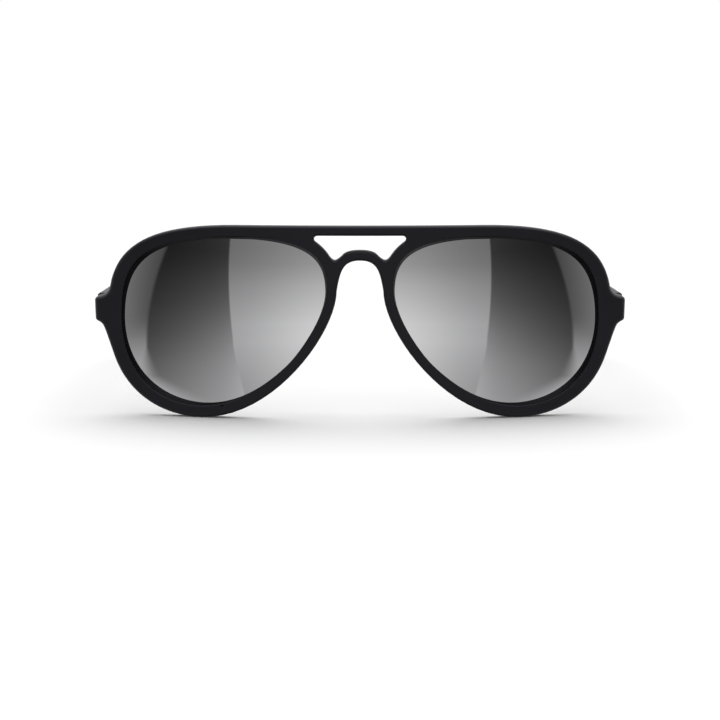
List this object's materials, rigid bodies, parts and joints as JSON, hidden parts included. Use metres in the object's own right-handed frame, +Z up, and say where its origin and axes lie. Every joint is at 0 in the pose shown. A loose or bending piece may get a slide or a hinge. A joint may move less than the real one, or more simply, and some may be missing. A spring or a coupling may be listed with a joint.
{
  "type": "glacier glasses",
  "caption": "Aviator-shaped glacier glasses: one-piece matt front with an open double bridge, opaque silver mirror lenses, folding arms and rubber hooks with cord holes.",
  "frame": {"origin": "middle of the whole object's box, on the table the open glasses stand on", "axes": "+Z up, -Y the way the lenses look, +Y towards the wearer's ears, +X the wearer's left"},
  "size_m": [0.1496, 0.155, 0.0538],
  "materials": {
    "front_plastic": "matt moulded nylon, near black",
    "arm_plastic": "matt moulded nylon, near black",
    "mirror_lens": "opaque silver mirror coating on grey mineral glass",
    "nose_pad_rubber": "soft matt rubber",
    "tip_rubber": "soft matt rubber with fine grip ribs",
    "hinge_steel": "satin stainless steel",
    "screw_steel": "bright stainless steel",
    "core_steel": "plain bendable steel strip, hidden inside"
  },
  "bodies": {
    "front": {"front_frame": "front_plastic", "left_lens": "mirror_lens", "right_lens": "mirror_lens", "left_nose_pad": "nose_pad_rubber", "right_nose_pad": "nose_pad_rubber", "left_front_hinge_leaf": "hinge_steel", "right_front_hinge_leaf": "hinge_steel", "left_hinge_screw": "screw_steel", "right_hinge_screw": "screw_steel"},
    "left_arm_assembly": {"left_arm": "arm_plastic", "left_arm_hinge_leaf": "hinge_steel", "left_arm_rivets": "screw_steel", "left_core_strip": "core_steel", "left_arm_tip": "tip_rubber"},
    "right_arm_assembly": {"right_arm": "arm_plastic", "right_arm_hinge_leaf": "hinge_steel", "right_arm_rivets": "screw_steel", "right_core_strip": "core_steel", "right_arm_tip": "tip_rubber"}
  },
  "joints": [
    {"name": "left_arm_fold", "type": "hinge", "parent": "front", "child": "left_arm_assembly", "pos_m": [0.0694, -0.05523, 0.0297], "axis": [0, 0, 1], "range_deg": [0, 92]},
    {"name": "right_arm_fold", "type": "hinge", "parent": "front", "child": "right_arm_assembly", "pos_m": [-0.0694, -0.05523, 0.0297], "axis": [0, 0, -1], "range_deg": [0, 87]}
  ]
}
